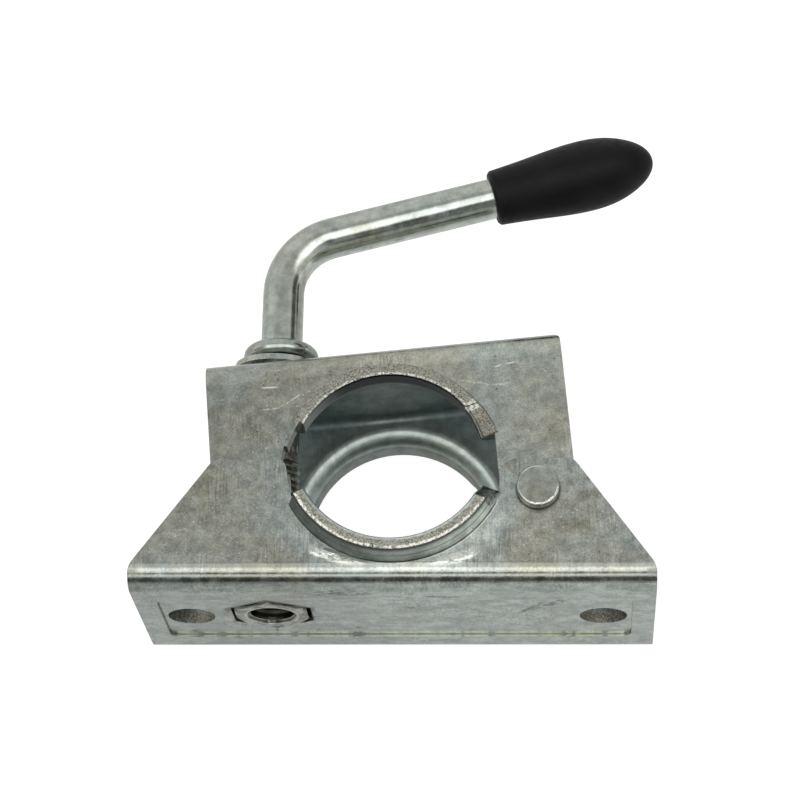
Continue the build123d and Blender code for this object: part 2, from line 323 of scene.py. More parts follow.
def marks(tree, place, lines, width, fade=0.8):
    return largest(tree, *(mark(tree, place, start, end, width, fade) for start, end in lines))


def spot(tree, place, centre, radius, soft):
    flat = vector_maths(tree, "MULTIPLY", place, ACROSS_UPRIGHT)
    away = vector_maths(tree, "DISTANCE", flat, (*centre, 0.0))
    return step(tree, away, radius, radius * (1.0 - soft))


def spots(tree, place, centres, radius, soft):
    return largest(tree, *(spot(tree, place, centre, radius, soft) for centre in centres))


def stains(tree, place, centres, radius, face, scale):
    broken = step(tree, noise(tree, place, scale, 3.0, 0.6), 0.38, 0.6)
    return product(tree, spots(tree, place, centres, radius, 1.0), face, broken)


# The same place seen from the front: across, then up.
def face_on(tree, place):
    return mapped(tree, place, turn=(math.radians(-90.0), 0.0, 0.0))


# Distance from the nut's axis, measured square to its nearest flat.
def across_flats(tree, place):
    from_nut = vector_maths(tree, "SUBTRACT", place, SCREW_AXIS)
    reaches = []
    for flat in range(3):
        angle = math.radians(60.0 * flat) + NUT_TURN
        direction = (math.cos(angle), 0.0, math.sin(angle))
        reaches.append(size_of(tree, vector_maths(tree, "DOT_PRODUCT", from_nut, direction)))
    return largest(tree, *reaches)


# Measures of a pressed half, in coordinates centred on its collars: distance from their axis,
# the same made uneven for torn borders, the sheared rim, every face that looks into the
# channel or the bore, and of these the web and the bore.
def pressing(tree, place, facing, rim_z, under_z, web_y):
    axes = split(tree, place)
    turned = split(tree, facing)
    radius = reach_from(tree, place, ACROSS_UPRIGHT)
    wander = less(tree, noise(tree, place, 0.8, 3.0, 0.7), 0.5)
    uneven = total(tree, radius, product(tree, wander, 1.4))
    height_z = size_of(tree, axes["Z"])
    near_rim = step(tree, height_z, rim_z - 0.5, rim_z - 0.25)
    rim = product(tree, near_rim, step(tree, radius, FOOT_R, FOOT_R - 1.0))
    side = 1.0 if web_y > 0.0 else -1.0
    past_web = step(tree, product(tree, axes["Y"], side), side * web_y + 0.5, side * web_y + 0.1)
    looks_in = step(tree, product(tree, axes["Z"], turned["Z"]), -0.3, -1.5)
    between_flanges = step(tree, height_z, under_z + 0.25, under_z + 0.1)
    inner_web = product(tree, past_web, between_flanges)
    bore = step(tree, radius, BORE_R + 0.35, BORE_R + 0.15)
    bore = product(tree, bore, inverse(tree, between_flanges))
    inner = largest(tree, product(tree, past_web, looks_in), inner_web, bore)
    return axes, turned, radius, uneven, height_z, rim, inner, inner_web, bore


# The upright outer wall of a half's collars, above the flange.
def collar_wall(tree, lean, radius, height_z, low, high):
    beside = between(tree, radius, WALL_R - 0.2, FOOT_R + 0.2, 0.1)
    return product(tree, step(tree, lean, 0.62, 0.45), beside, step(tree, height_z, low, high))


# Inside the channels the plating is tinted blue-green.
def inside_colour(tree, inner, colour):
    return blend(tree, inner, colour, vector_maths(tree, "MULTIPLY", colour, INSIDE_TINT))


# The bracket's faces: flange tops, the web's front, the bend and the collars' outer walls.
pressing_zinc, tree, shader, mm, facing = new_material("zinc_pressing")
axes, turned, radius, uneven, height_z, rim, inner, inner_web, _ = pressing(
    tree, mm, facing, COLLAR_RIM, FLANGE_UNDER, WEB_INSIDE
)
lean = size_of(tree, turned["Z"])
lean_y = size_of(tree, turned["Y"])
sideways = step(tree, lean_y, 0.6, 0.4)
top_face = step(tree, axes["Z"], FLANGE_TOP - 0.5, FLANGE_TOP - 0.3)
web_front = step(tree, axes["Y"], WEB_INSIDE + 0.6, WEB_INSIDE)
front = product(tree, web_front, step(tree, lean_y, 0.6, 0.85))
past_bend = step(tree, axes["Y"], BEND_START + 0.2, BEND_START - 0.4)
bend = product(tree, past_bend, inverse(tree, front))
wall = collar_wall(tree, lean, radius, height_z, FLANGE_TOP + 0.05, FLANGE_TOP + 0.3)

# Brightness: painted shade on the collar's wall, lighter from left to right, painted shade
# inside, a painted sheen before the collar, a painted highlight on the bend's crest over painted
# shade on its underside, brown stains and a cloudy web.
WALL_LEFT, WALL_MIDDLE, WALL_RIGHT = 0.34, 0.62, 1.35
INSIDE_LEVEL, INSIDE_WEB_LEVEL = 0.85, 0.6
BEND_UNDER_LEVEL, BEND_CREST_LEVEL = 0.64, 1.16
BROWN_LEVEL, WEB_LEVEL = 0.80, 0.93
BROWN_STAINS = ((-49.0, -12.5), (-45.5, -8.0), (46.5, -12.0), (45.0, -19.5), (30.5, -3.5))
# Painted shade on the collar's outer wall, lighter from left to right.
wall_level = total(
    tree,
    step(tree, axes["X"], -16.0, 2.0, WALL_LEFT, WALL_MIDDLE),
    step(tree, axes["X"], 4.0, 18.0, 0.0, WALL_RIGHT - WALL_MIDDLE),
)
level = mixed(tree, wall, step(tree, axes["X"], -30.0, 10.0, 0.90, 1.0), wall_level)
# Painted shade inside the channel, darkest on the web.
level = mixed(tree, inner, level, mixed(tree, inner_web, INSIDE_LEVEL, INSIDE_WEB_LEVEL))
# Painted sheen on the flange before the collar's foot.
sheen = product(
    tree,
    top_face,
    step(tree, radius, 37.0, 29.5),
    step(tree, axes["Y"], -10.0, -18.0),
    step(tree, axes["X"], -16.0, 14.0, 0.15, 0.5),
)
level = product(tree, total(tree, sheen, 1.0), level)
# Painted highlight on the bend's crest over painted shade on its underside, set by the normal.
painted_bend_light = step(tree, turned["Y"], -0.22, -0.33, BEND_UNDER_LEVEL, BEND_CREST_LEVEL)
level = product(tree, level, mixed(tree, bend, 1.0, painted_bend_light))
brown = stains(tree, mm, BROWN_STAINS, 9.0, top_face, 0.25)
brown_level = step(tree, brown, 0.0, 1.0, 1.0, BROWN_LEVEL)
level = product(tree, level, brown_level, mixed(tree, front, 1.0, WEB_LEVEL))
web_cloud = noise(tree, mapped(tree, mm, (0.09, 1.0, 0.22)), 1.0, 5.0, 0.68)
web_shade = step(tree, web_cloud, 0.32, 0.68, 0.80, 1.18)
web_side = step(tree, axes["X"], -30.0, 10.0, 0.97, 1.10)
level = product(tree, level, mixed(tree, front, 1.0, product(tree, web_shade, web_side)))
near_collar = step(tree, radius, 42.0, 31.0, 0.06, -0.10)
warmth = mixed(tree, largest(tree, wall, inner, front), near_collar, -0.2)
grain_level = mixed(tree, largest(tree, wall, inner), 1.4, 0.6)
base = plated(
    tree,
    mm,
    level,
    warmth=total(tree, product(tree, brown, 0.25), warmth),
    grain=mixed(tree, front, mixed(tree, bend, grain_level, 1.0), 1.4),
    specks=mixed(tree, largest(tree, front, bend), 1.0, 0.4),
)

# Cut faces: the flanges' edges, the collars' rims with their burrs, the channel's ends, and
# the walls of the holes and of the nut's pocket. The plate's edges show it less than the rims.
PLATE_CUT = 0.55
flange_cut = product(
    tree,
    step(tree, lean, 0.45, 0.25),
    step(tree, radius, FOOT_R + 0.2, FOOT_R + 0.5),
    step(tree, height_z, FLANGE_UNDER - 0.1, FLANGE_UNDER + 0.1),
    step(tree, axes["Y"], WEB_INSIDE + 0.1, WEB_INSIDE + 1.6),
)
past_ends = step(tree, size_of(tree, axes["X"]), WEB_HALF_X - 3.2, WEB_HALF_X - 1.2)
web_end = product(tree, web_front, sideways, past_ends)
inside_panel = step(tree, height_z, PANEL_HALF_Z - 2.0, PANEL_HALF_Z - 1.0, 1.0, 0.0)
hole_walls = product(tree, web_front, sideways, inside_panel)
rim_strip = product(tree, rim, step(tree, uneven, 25.0, 25.3))
cut_mask = largest(
    tree,
    rim_strip,
    product(tree, flange_cut, PLATE_CUT),
    hole_walls,
    product(tree, web_end, PLATE_CUT),
)
full = with_cuts(
    tree,
    mm,
    base,
    cut_mask,
    burr=product(tree, rim, step(tree, uneven, 26.4, 26.8)),
    roughness=mixed(tree, largest(tree, inner, wall), base["Roughness"], 0.42),
)

# Dark marks: painted shade under the rim and along the collar's roll and foot, a darker
# sloping end on the collar, painted shadow round the rivet and above the nut, painted shade
# down the holes, and the web's streaks, dirt and pits.
SLOPING_END = (-0.56, -0.37)
WEB_STREAKS = (
    ((-14.0, 19.2), (-6.0, 19.7)),
    ((8.0, 17.6), (16.5, 16.8)),
    ((2.5, 7.0), (5.5, 6.0)),
    ((31.0, 2.0), (37.0, 10.5)),
    ((34.0, 4.5), (44.5, 15.5)),
    ((38.5, 8.0), (43.0, 12.0)),
)
WEB_DIRT = ((-20.2, -11.4), (-10.4, -9.6), (-52.9, -12.0), (-41.6, -15.3), (-20.6, -1.0))
WEB_PITS = (-13.0, 20.0)
PITS_STRETCH = 0.25
# Painted shade under the rim, in a line along the collar's roll and in the crease at its foot.
under_rim = product(tree, wall, step(tree, height_z, COLLAR_RIM - 1.9, COLLAR_RIM - 0.5))
roll_line = product(
    tree,
    wall,
    between(tree, height_z, FLANGE_TOP + 2.3, FLANGE_TOP + 2.6, 0.2),
    step(tree, axes["X"], -6.0, 6.0, 0.35, 0.7),
)
at_collar = product(tree, top_face, step(tree, axes["Y"], -12.5, -14.5))
foot_line = product(tree, at_collar, between(tree, radius, FOOT_R - 0.15, FOOT_R + 0.1, 0.08))
around = maths(tree, "ARCTAN2", axes["Y"], axes["X"])
sloping_end = product(
    tree,
    between(tree, around, *SLOPING_END, 0.01),
    between(tree, radius, BORE_R + 0.4, FOOT_R - 0.4, 0.2),
    step(tree, height_z, FLANGE_TOP + 0.1, FLANGE_TOP + 0.4),
    step(tree, lean, 0.97, 0.9),
)
# The collar's sloping end is darker, broken up by noise.
end_darkening = step(tree, noise(tree, mm, 1.1, 2.0), 0.35, 0.6, 0.3, 0.85)
# Painted shadow on the flange round the rivet head's foot.
rivet_foot = product(tree, top_face, spot(tree, mm, RIVET[:2], RIVET_HEAD_R + 0.6, 0.08))
# Painted shadow in the pocket's gap above the nut.
pocket_gap = between(tree, across_flats(tree, mm), NUT_HALF + 0.4, NUT_HALF + 2.2, 0.4)
painted_nut_shadow = product(tree, web_front, step(tree, axes["Z"], *NUT_TOP), pocket_gap)
# Painted shade, deeper down the holes' walls.
hole_depth = product(tree, hole_walls, step(tree, axes["Y"], WEB_FRONT + 0.2, WEB_FRONT + 2.8))
web_plan = face_on(tree, mm)
web_marks = largest(
    tree,
    marks(tree, web_plan, WEB_STREAKS, 0.9, 1.6),
    spots(tree, web_plan, WEB_DIRT, 1.7, 0.9),
)
web_marks = product(tree, web_marks, step(tree, noise(tree, mm, 0.9, 3.0, 0.7), 0.36, 0.6))
stretched = mapped(tree, web_plan, (PITS_STRETCH, 1.0, 1.0))
pitted = spot(tree, stretched, (PITS_STRETCH * WEB_PITS[0], WEB_PITS[1]), 3.0, 0.7)
smeared = noise(tree, mapped(tree, web_plan, (0.55, 1.5, 1.0)), 1.0, 3.0, 0.6)
web_marks = largest(tree, web_marks, product(tree, pitted, step(tree, smeared, 0.47, 0.58)))
dark = largest(
    tree,
    product(tree, under_rim, 0.85),
    product(tree, foot_line, 0.75),
    roll_line,
    product(tree, sloping_end, end_darkening),
    product(tree, rivet_foot, 0.6),
    product(tree, web_marks, front, 0.85),
    product(tree, hole_depth, 0.2),
    product(tree, painted_nut_shadow, 0.75),
)
tint = blend(tree, dark, inside_colour(tree, inner, full["Color"]), PIT_AND_SHADE_GREY)

# Bright marks: the sides of the pocket and holes, a painted highlight on the pressed panel's
# lower lip, a painted glint at the collar's foot, and painted highlights along the folds that
# the drawing left beside it, which also stand a little proud.
WING_FOLDS = (
    ((-19.5, -25.4), (-12.0, -27.9)),
    ((-15.0, -27.2), (-6.5, -29.9)),
    ((9.0, -29.9), (17.0, -28.0)),
    ((14.0, -28.6), (21.0, -25.8)),
)
at_front = step(tree, axes["Y"], WEB_FRONT + 0.6, WEB_FRONT + 0.5)
lip_side = product(tree, at_front, step(tree, size_of(tree, turned["X"]), 0.4, 0.6))
tint = blend(tree, product(tree, lip_side, 0.6), tint, POCKET_LIP_WHITE)
# Painted highlight on the panel's lower lip, which faces up.
panel_lip = product(
    tree,
    step(tree, axes["Y"], WEB_FRONT + 0.55, WEB_FRONT + 0.4),
    step(tree, turned["Z"], 0.5, 0.8),
    step(tree, height_z, PANEL_HALF_Z - 1.0, PANEL_HALF_Z - 0.5),
    step(tree, noise(tree, mm, 0.35, 3.0, 0.6), 0.36, 0.5),
)
tint = blend(tree, product(tree, panel_lip, 0.5), tint, PANEL_LIP_HIGHLIGHT)
# Painted glint at the collar's foot.
foot_glint = product(
    tree,
    at_collar,
    between(tree, radius, FOOT_R + 0.2, FOOT_R + 0.5, 0.08),
    step(tree, axes["X"], 6.0, 12.0),
)
tint = blend(tree, product(tree, foot_glint, 0.75), tint, SPECK_AND_HIGHLIGHT_WHITE)
# Painted highlight along the folds beside the collar; the folds also get a small relief.
wings = product(
    tree,
    step(tree, axes["Z"], FLANGE_TOP - 2.0, FLANGE_TOP - 0.4),
    product(tree, step(tree, axes["Y"], -30.4, -28.4), marks(tree, mm, WING_FOLDS, 1.6, 2.4)),
    step(tree, noise(tree, mm, 0.6, 3.0), 0.35, 0.6, 0.55, 1.0),
)
tint = blend(tree, product(tree, wings, 0.6), tint, SPECK_AND_HIGHLIGHT_WHITE)
relief = total(tree, full["Height"], product(tree, wings, 0.32))
finish_steel(tree, shader, tint, full["Roughness"], relief)
dress("mounting_bracket", pressing_zinc)


# Captive nut: a high M12 hexagon nut, zinc plated and held by its flats in the bracket's
# pocket. Its plating is dull and worn in patches, its plain bore has turns of thread painted
# in as shade and light, and painted shadow lies along its top. A painted glint sits on the
# countersink's lower lip.
THREAD_PITCH = 1.75
COUNTERSINK_R = 6.3
NUT_FACE = -33.85
GLINT_PLACE = (-32.4, -5.7)
NUT_LIP_GREY = (0.5, 0.49, 0.42)
ROOT_SHADE, CREST_LIGHT = (0.08, 0.08, 0.07), (0.42, 0.41, 0.35)
GLINT_WHITE = (0.95, 0.95, 0.9)
nut_zinc, tree, shader, mm, _ = new_material("zinc_nut")
axes = split(tree, mm)
worn = step(tree, noise(tree, mm, 0.38, 3.0, 0.6), 0.38, 0.6, 0.34, 0.92)
base = plated(tree, mm, level=worn, warmth=0.05, grain=1.3, specks=0.8)
from_screw = reach_from(tree, vector_maths(tree, "SUBTRACT", mm, SCREW_AXIS), ACROSS_SCREW)
lip = between(tree, from_screw, COUNTERSINK_R + 0.05, COUNTERSINK_R + 0.6, 0.1)
tint = blend(tree, product(tree, lip, 0.6), base["Color"], NUT_LIP_GREY)
# Painted thread in the plain bore: shade in its roots, light on its crests.
turns = maths(tree, "SINE", product(tree, axes["Y"], 2.0 * math.pi / THREAD_PITCH))
painted_thread = blend(tree, step(tree, turns, -0.4, 0.8), ROOT_SHADE, CREST_LIGHT)
inside = step(tree, from_screw, COUNTERSINK_R - 0.1, COUNTERSINK_R - 0.3)
tint = blend(tree, inside, tint, painted_thread)
# Painted shadow along the nut's top.
outer = step(tree, across_flats(tree, mm), NUT_HALF - 1.1, NUT_HALF - 0.7)
painted_top_shadow = product(tree, step(tree, axes["Z"], *NUT_TOP), outer)
tint = blend(tree, product(tree, painted_top_shadow, 0.75), tint, PIT_AND_SHADE_GREY)
in_mouth = step(tree, axes["Y"], NUT_FACE + 1.65, NUT_FACE + 1.25)
glint = product(tree, spot(tree, face_on(tree, mm), GLINT_PLACE, 1.2, 0.3), in_mouth)
tint = blend(tree, glint, tint, GLINT_WHITE)
finish_steel(tree, shader, tint, base["Roughness"], base["Height"])
dress("captive_nut", nut_zinc)


# Swinging jaw: the moving half, pressed and plated like the bracket and one size narrower, so
# that it swings inside it about the rivet. Its patterns are centred on its own collars, which
# lie turned about the rivet.
JAW_TURN = math.radians(5.58)
JAW_RIM = 28.2
JAW_TOP, JAW_UNDER = 22.7, 18.7
JAW_WEB_INSIDE = 31.9
JAW_STAINS = ((-32.0, 23.1), (1.1, 25.3), (-16.0, 26.5), (-6.0, 27.0))
jaw_centre = RIVET + Matrix.Rotation(JAW_TURN, 3, "Z") @ -RIVET
jaw_zinc, tree, shader, mm, facing = new_material("zinc_jaw")
from_centre = vector_maths(tree, "SUBTRACT", mm, tuple(jaw_centre))
own = mapped(tree, from_centre, turn=(0.0, 0.0, -JAW_TURN))
axes, turned, radius, uneven, height_z, rim, inner, inner_web, bore = pressing(
    tree, own, facing, JAW_RIM, JAW_UNDER, JAW_WEB_INSIDE
)
lean = size_of(tree, turned["Z"])
top_face = step(tree, axes["Z"], JAW_TOP - 0.5, JAW_TOP - 0.3)

# Brightness: darker to the left and in stains. Inside, painted light and shade: the web and
# bore darker, the ring round the collar less bright than the flanges past it, and painted
# shade on the upper bore, deepening from left to right.
RING_LEVEL, PAST_RING_LEVEL = 1.5, 2.4
JAW_WEB_LEVEL, BORE_LEVEL = 0.8, 0.8
STAINED_LEVEL = 0.82
stained = stains(tree, mm, JAW_STAINS, 7.0, top_face, 0.3)
level = product(
    tree,
    step(tree, axes["X"], -30.0, 14.0, 0.81, 1.0),
    step(tree, stained, 0.0, 1.0, 1.0, STAINED_LEVEL),
)
# Painted light on the inner flanges, painted shade on the inner web and bore.
ring = step(tree, radius, 33.0, 30.0)
inner_level = mixed(tree, ring, PAST_RING_LEVEL, RING_LEVEL)
inner_level = mixed(tree, inner_web, inner_level, JAW_WEB_LEVEL)
inner_level = mixed(tree, bore, inner_level, BORE_LEVEL)
# Painted shade on the upper bore, deepening to the right.
upper_bore = product(tree, bore, step(tree, axes["Z"], 0.0, 1.0))
inner_level = mixed(tree, upper_bore, inner_level, step(tree, axes["X"], -22.0, -8.0, 0.9, 0.06))
warmth = mixed(tree, inner, 0.04, mixed(tree, ring, -0.4, -0.1))
base = plated(
    tree,
    own,
    level=mixed(tree, inner, level, inner_level),
    warmth=total(tree, product(tree, stained, 0.2), warmth),
    grain=mixed(tree, inner, 1.3, 0.5),
    specks=mixed(tree, inner, 1.0, 0.4),
)

# Cut faces: the flanges' edges, the collars' rims, their sloping right end and its tooth.
JAW_SLOPING_END = (0.27, 0.56)
JAW_TOOTH = (0.52, 0.60)
at_plate = product(
    tree,
    step(tree, height_z, JAW_UNDER - 0.1, JAW_UNDER + 0.1),
    step(tree, height_z, JAW_TOP + 0.2, JAW_TOP),
)
flange_cut = product(
    tree,
    step(tree, lean, 0.45, 0.25),
    step(tree, radius, WALL_R - 0.4, WALL_R - 0.2),
    at_plate,
)
around = maths(tree, "ARCTAN2", axes["Y"], axes["X"])
sloping_end = product(
    tree,
    between(tree, around, *JAW_SLOPING_END, 0.01),
    between(tree, radius, BORE_R + 0.5, FOOT_R - 0.1, 0.2),
    between(tree, lean, 0.3, 0.93, 0.05),
    step(tree, height_z, JAW_TOP + 0.05, JAW_TOP + 0.2),
)
rim_strip = product(tree, rim, step(tree, uneven, 24.5, 24.8))
tooth = product(
    tree,
    between(tree, around, *JAW_TOOTH, 0.02),
    step(tree, radius, WALL_R + 0.4, WALL_R),
    step(tree, height_z, JAW_RIM - 2.2, JAW_RIM - 1.2),
)
full = with_cuts(
    tree,
    own,
    base,
    mask=largest(tree, rim_strip, product(tree, flange_cut, PLATE_CUT), sloping_end),
    burr=largest(tree, product(tree, rim, step(tree, uneven, 24.95, 24.6)), tooth),
    roughness=mixed(tree, inner, base["Roughness"], mixed(tree, ring, 0.62, 0.44)),
)

# Bright scratches and wavy creases on the flange, painted shade on the collar's wall, and dark
# marks in the stains and along the cuts.
JAW_SCRATCHES = (
    ((-33.9, 19.5), (-30.1, 19.7)),
    ((25.3, 24.9), (26.7, 25.4)),
    ((28.2, 25.8), (30.3, 26.2)),
)
JAW_CREASES = (
    ((-33.7, 13.4), (-29.5, 13.9)),
    ((-29.5, 13.9), (-24.2, 17.5)),
    ((16.4, 21.3), (21.0, 20.6)),
    ((21.0, 20.6), (25.0, 20.0)),
    ((25.0, 20.0), (29.1, 20.4)),
)
waves = scaled(tree, ACROSS_UPRIGHT, less(tree, noise(tree, mm, 0.9), 0.5))
wavy = vector_maths(tree, "ADD", mm, waves)
crease_gate = step(tree, noise(tree, mm, 1.2), 0.35, 0.55)
light = largest(
    tree,
    product(tree, marks(tree, mm, JAW_SCRATCHES, 0.32), 0.9),
    product(tree, marks(tree, wavy, JAW_CREASES, 0.3), crease_gate, 0.6),
)
tinted_inside = product(tree, inner, mixed(tree, ring, 1.0, 0.3))
tint = inside_colour(tree, tinted_inside, full["Color"])
tint = blend(tree, product(tree, light, top_face), tint, SPECK_AND_HIGHLIGHT_WHITE)
# Painted shade on the collar's outer wall.
wall = collar_wall(tree, lean, radius, height_z, JAW_TOP + 0.1, JAW_TOP + 0.3)
dark = largest(
    tree,
    product(tree, wall, 0.55),
    product(tree, stained, dots(tree, mm, 0.6, 0.3), 0.7),
    product(tree, sloping_end, step(tree, uneven, 25.2, 24.9), 0.8),
    product(tree, rim_strip, 0.12),
)
tint = blend(tree, dark, tint, PIT_AND_SHADE_GREY)
finish_steel(tree, shader, tint, full["Roughness"], full["Height"])
dress("swing_jaw", jaw_zinc)


# Pivot rivet: a zinc plated steel pin, pushed through all four flanges and headed cold. The
# head's side is darker, broken up by noise, and its top is pitted. Its border towards the web
# carries a painted highlight over a rough bump, and a painted highlight runs along its top-left
# rounding.
RIVET_HEAD_FROM = 26.0
RIVET_SIDE_DARK = (0.07, 0.07, 0.06)
TOWARDS_LOW_RIGHT = (0.5, -0.866, 0.0)
TOWARDS_TOP_LEFT = (-0.35, 0.937, 0.0)
rivet_zinc, tree, shader, mm, facing = new_material("zinc_rivet")
base = plated(tree, mm, level=0.93, warmth=0.0, grain=0.7, specks=1.0)
from_pin = vector_maths(tree, "SUBTRACT", mm, tuple(RIVET))
pin_reach = reach_from(tree, from_pin, ACROSS_UPRIGHT)
side = step(tree, size_of(tree, split(tree, facing)["Z"]), 0.5, 0.3)
head = step(tree, size_of(tree, split(tree, mm)["Z"]), RIVET_HEAD_FROM, RIVET_HEAD_FROM + 0.5)
broken = step(tree, noise(tree, mm, 0.9, 3.0, 0.7), 0.35, 0.6, 0.5, 1.0)
tint = blend(tree, product(tree, side, head, broken), base["Color"], RIVET_SIDE_DARK)
wander = less(tree, noise(tree, mm, 1.1, 3.0, 0.7), 0.5)
border = total(tree, pin_reach, product(tree, wander, 1.6))
low_right = step(tree, vector_maths(tree, "DOT_PRODUCT", from_pin, TOWARDS_LOW_RIGHT), 1.5, 4.2)
top_left = step(tree, vector_maths(tree, "DOT_PRODUCT", from_pin, TOWARDS_TOP_LEFT), 3.6, 4.7)
# Painted highlight on the head's border towards the web, over a rough bump.
lit_border = product(tree, low_right, step(tree, border, 4.6, 5.0), inverse(tree, side))
# Painted highlight along the head's top-left rounding.
arc = product(tree, top_left, between(tree, pin_reach, 4.85, 5.05, 0.08))
light = largest(tree, product(tree, lit_border, 0.9), product(tree, arc, 0.7))
tint = blend(tree, light, tint, SPECK_AND_HIGHLIGHT_WHITE)
relief = total(tree, base["Height"], product(tree, noise(tree, mm, 1.4, 2.0), lit_border, 0.25))
finish_steel(tree, shader, tint, base["Roughness"], relief)
dress("pivot_rivet", rivet_zinc)


# Clamp screw and handle: one drawn steel bar, threaded at one end, upset to a collar, bent
# cold and zinc plated bright. It is wound into the captive nut. Its thread is greasy and
# browned, and the polished arm carries faint smudges.
THREAD_END = 10.2
SHANK_R = 5.45
UPSET_FROM, UPSET_TO = 34.5, 41.0
UPSET_LEVEL = 0.9
BAR_BUMP = 0.3
GREASE = (0.10, 0.088, 0.06)
SMUDGE_GREY = (0.20, 0.215, 0.19)
BAR_SMUDGES = (((-27.6, 41.5), (-27.9, 57.0)), ((-36.5, 50.0), (-35.5, 51.0)))
bar, tree, shader, mm, facing = new_material("zinc_bar")
along_screw = split(tree, mm)["Y"]
from_screw = reach_from(tree, vector_maths(tree, "SUBTRACT", mm, SCREW_AXIS), ACROSS_SCREW)
upset = product(
    tree,
    step(tree, from_screw, SHANK_R + 0.35, SHANK_R + 0.85),
    between(tree, along_screw, UPSET_FROM, UPSET_TO, 0.5),
)
# Painted light: the bar's side facing the front is brighter, to strengthen its highlight.
painted_front_light = step(tree, split(tree, facing)["Y"], -0.1, -0.35, 1.05, 1.5)
level = mixed(tree, upset, painted_front_light, UPSET_LEVEL)
base = plated(tree, mm, level, warmth=-0.05, grain=0.2, specks=0.25)
smudge = step(tree, noise(tree, mm, 0.22, 4.0, 0.7), 0.5, 0.72, 0.0, 0.5)
handled = marks(tree, mm, BAR_SMUDGES, 0.8, 2.0)
handled = product(tree, handled, step(tree, noise(tree, mm, 0.8, 3.0), 0.3, 0.6))
smudge = largest(tree, smudge, product(tree, handled, 0.7))
tint = blend(tree, smudge, base["Color"], SMUDGE_GREY)
threaded = step(tree, along_screw, THREAD_END + 0.4, THREAD_END - 0.4)
grease = product(tree, threaded, step(tree, noise(tree, mm, 0.7, 3.0), 0.3, 0.62, 0.35, 0.9))
tint = blend(tree, grease, tint, GREASE)
rough = mixed(tree, threaded, product(tree, base["Roughness"], 0.78), 0.4)
finish_steel(tree, shader, tint, rough, base["Height"], BAR_BUMP)
dress("clamp_screw", bar)


# Screw thread: the rolled M12 ridge, standing proud of the bar from inside the nut's pocket to
# the plain shank. A slim triangular profile is wound right-handed along the screw, and its
# start stays clear of the nut at the tightest turn.
THREAD_START = -19.5
THREAD_TURNS = int((THREAD_END - THREAD_START) / THREAD_PITCH) - 1
STEPS_A_TURN = 36
PROFILE_R = 0.9
PROFILE_SLIM = 0.444
PROFILE_AT = 5.55
ORIGIN = (0.0, 0.0, 0.0)
QUARTER = math.radians(90.0)
bpy.ops.mesh.primitive_circle_add(vertices=3, radius=PROFILE_R * MM, fill_type="NOTHING")
thread = bpy.context.object
thread.name = "screw_thread"
bpy.ops.object.mode_set(mode="EDIT")
bpy.ops.mesh.select_all(action="SELECT")
bpy.ops.transform.rotate(value=QUARTER, orient_axis="Z", center_override=ORIGIN)
bpy.ops.transform.resize(value=(PROFILE_SLIM, 1.0, 1.0), center_override=ORIGIN)
bpy.ops.transform.rotate(value=QUARTER, orient_axis="X", center_override=ORIGIN)
bpy.ops.transform.translate(value=(PROFILE_AT * MM, 0.0, 0.0))
bpy.ops.object.mode_set(mode="OBJECT")
winding = thread.modifiers.new("winding", "SCREW")
winding.axis = "Z"
winding.screw_offset = THREAD_PITCH * MM
winding.iterations = THREAD_TURNS
winding.steps = STEPS_A_TURN
winding.render_steps = STEPS_A_TURN
bpy.ops.object.modifier_apply(modifier="winding")
bpy.ops.object.mode_set(mode="EDIT")
bpy.ops.mesh.select_all(action="SELECT")
bpy.ops.transform.rotate(value=QUARTER, orient_axis="X", center_override=ORIGIN)
bpy.ops.transform.translate(value=(SCREW_AXIS[0] * MM, THREAD_START * MM, 0.0))
bpy.ops.mesh.normals_make_consistent(inside=False)
bpy.ops.object.mode_set(mode="OBJECT")
bpy.ops.object.shade_smooth_by_angle(angle=math.radians(30.0))
thread.data.materials.append(bar)
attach(thread, "handle")


# Washer: a plain washer stamped from steel strip, with dull grey-brown plating. It sits loose
# on the screw and leans against the upset collar.
washer, tree, shader, mm, _ = new_material("zinc_washer")
base = plated(tree, mm, level=1.0, warmth=0.05, grain=0.8, specks=0.4)
finish_steel(tree, shader, base["Color"], base["Roughness"], base["Height"])
dress("clamp_washer", washer)


# Hand grip: matte black plastic with a faint sheen and fine pores, moulded as one cap and
# pushed over the arm's end.
GRIP_DARK, GRIP_LIGHT = (0.0030, 0.0031, 0.0035), (0.0052, 0.0054, 0.0058)
PORE_DEPTH = 0.04
grip, tree, shader, mm, _ = new_material("grip_black")
tint = blend(tree, step(tree, noise(tree, mm, 0.12, 3.0), 0.35, 0.65), GRIP_DARK, GRIP_LIGHT)
rough = step(tree, noise(tree, mm, 0.6, 3.0), 0.3, 0.7, 0.42, 0.54)
pores = noise(tree, mm, 3.0, 3.0)
bump = node(tree, "ShaderNodeBump", {"Strength": 0.25, "Distance": PORE_DEPTH * MM, "Height": pores})
tree.links.new(tint, shader.inputs["Base Color"])
tree.links.new(rough, shader.inputs["Roughness"])
tree.links.new(bump.outputs["Normal"], shader.inputs["Normal"])
shader.inputs["Specular IOR Level"].default_value = 0.14
dress("handle_grip", grip)


# Floor: pale paper just under the lower rims. For the camera it glows up to white, in the
# metal it shows as a mid grey, and it still takes the object's shadow.
FLOOR_SIZE = 6.0
FLOOR_Z = -(COLLAR_RIM + 0.1) * MM
GLOW_SEEN, GLOW_MIRRORED = 0.93, 0.36
PAPER_PALE = (0.85, 0.85, 0.85)
PAPER_MIRRORED = (0.42, 0.43, 0.42)
PAPER_SEEN = (0.2, 0.2, 0.2)


# Whether a ray is the camera's own, or has passed through something clear.
def seen_rays(tree, rays):
    return largest(tree, rays["Is Camera Ray"], rays["Is Transmission Ray"])


